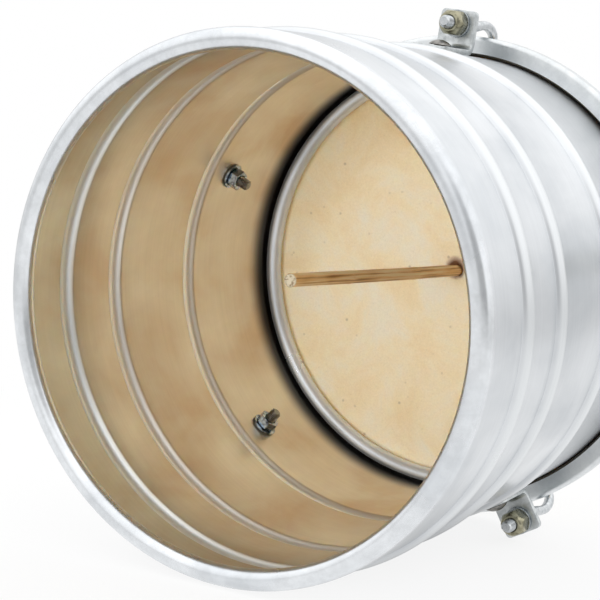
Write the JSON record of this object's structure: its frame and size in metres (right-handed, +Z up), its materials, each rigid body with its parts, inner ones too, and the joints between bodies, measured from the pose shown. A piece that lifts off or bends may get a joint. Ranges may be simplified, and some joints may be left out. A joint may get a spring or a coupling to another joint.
{
  "type": "cuica friction drum",
  "caption": "Cuica lying on its side: a beaded aluminium shell open at one end, a hide head at the other under a hooked channel ring, and a cane stick tied to the middle of the hide.",
  "frame": {"origin": "middle of the overall box, on the floor that the drum lies on", "axes": "+Z up; the drum's axis runs along Y and rises towards the head, which faces +Y; the open end faces -Y; +X to the right when looking into the open end"},
  "size_m": [0.2742, 0.247, 0.2714],
  "materials": {
    "satin_aluminium": "satin",
    "goatskin": "natural rawhide",
    "plated_channel_steel": "plated, satin",
    "steel_wire": "plain wire",
    "galvanised_steel": "galvanised",
    "zinc_plated_forging": "zinc plated",
    "yellow_zinc": "yellow zinc plated steel",
    "zinc_plate": "zinc plated",
    "black_zinc": "black zinc plated",
    "cane": "polished cane",
    "waxed_thread": "waxed"
  },
  "bodies": {
    "shell_body": {"shell": "satin_aluminium", "bracket_1": "galvanised_steel", "bracket_bolt_1": "zinc_plate", "inner_washer_1": "black_zinc", "inner_nut_1": "black_zinc", "tuning_washer_1": "zinc_plate", "bracket_2": "galvanised_steel", "bracket_bolt_2": "zinc_plate", "inner_washer_2": "black_zinc", "inner_nut_2": "black_zinc", "tuning_washer_2": "zinc_plate", "bracket_3": "galvanised_steel", "bracket_bolt_3": "zinc_plate", "inner_washer_3": "black_zinc", "inner_nut_3": "black_zinc", "tuning_washer_3": "zinc_plate", "bracket_4": "galvanised_steel", "bracket_bolt_4": "zinc_plate", "inner_washer_4": "black_zinc", "inner_nut_4": "black_zinc", "tuning_washer_4": "zinc_plate", "bracket_5": "galvanised_steel", "bracket_bolt_5": "zinc_plate", "inner_washer_5": "black_zinc", "inner_nut_5": "black_zinc", "tuning_washer_5": "zinc_plate"},
    "head_body": {"skin_head": "goatskin", "counterhoop": "plated_channel_steel", "flesh_hoop": "steel_wire", "stick_binding": "waxed_thread", "tuning_hook_1": "zinc_plated_forging", "tuning_hook_2": "zinc_plated_forging", "tuning_hook_3": "zinc_plated_forging", "tuning_hook_4": "zinc_plated_forging", "tuning_hook_5": "zinc_plated_forging"},
    "stick_body": {"stick": "cane"},
    "nut_body_1": {"tuning_nut_1": "yellow_zinc"},
    "nut_body_2": {"tuning_nut_2": "yellow_zinc"},
    "nut_body_3": {"tuning_nut_3": "yellow_zinc"},
    "nut_body_4": {"tuning_nut_4": "yellow_zinc"},
    "nut_body_5": {"tuning_nut_5": "yellow_zinc"}
  },
  "joints": [
    {"name": "head_slide", "type": "slide", "parent": "shell_body", "child": "head_body", "axis": [0, 0.9989, 0.0474], "range_m": [0, 0.004]},
    {"name": "stick_tilt", "type": "hinge", "parent": "head_body", "child": "stick_body", "pos_m": [-0.0029, 0.11878, 0.13387], "axis": [1, 0, 0], "range_deg": [-4, 4]},
    {"name": "nut_turn_1", "type": "hinge", "parent": "shell_body", "child": "nut_body_1", "pos_m": [0.06076, 0.06349, 0.01009], "axis": [0, -0.9989, -0.0474], "range_deg": [0, 1140]},
    {"name": "nut_turn_2", "type": "hinge", "parent": "shell_body", "child": "nut_body_2", "pos_m": [0.12857, 0.05666, 0.15403], "axis": [0, -0.9989, -0.0474], "range_deg": [0, 1140]},
    {"name": "nut_turn_3", "type": "hinge", "parent": "shell_body", "child": "nut_body_3", "pos_m": [0.01248, 0.05149, 0.26293], "axis": [0, -0.9989, -0.0474], "range_deg": [0, 1140]},
    {"name": "nut_turn_4", "type": "hinge", "parent": "shell_body", "child": "nut_body_4", "pos_m": [-0.12708, 0.05512, 0.18629], "axis": [0, -0.9989, -0.0474], "range_deg": [0, 1140]},
    {"name": "nut_turn_5", "type": "hinge", "parent": "shell_body", "child": "nut_body_5", "pos_m": [-0.09724, 0.06254, 0.03002], "axis": [0, -0.9989, -0.0474], "range_deg": [0, 1140]}
  ],
  "couplings": [
    {"joint": "nut_turn_1", "follows": "head_slide", "rad_per_m": 4947.4},
    {"joint": "nut_turn_2", "follows": "head_slide", "rad_per_m": 4947.4},
    {"joint": "nut_turn_3", "follows": "head_slide", "rad_per_m": 4947.4},
    {"joint": "nut_turn_4", "follows": "head_slide", "rad_per_m": 4947.4},
    {"joint": "nut_turn_5", "follows": "head_slide", "rad_per_m": 4947.4}
  ]
}
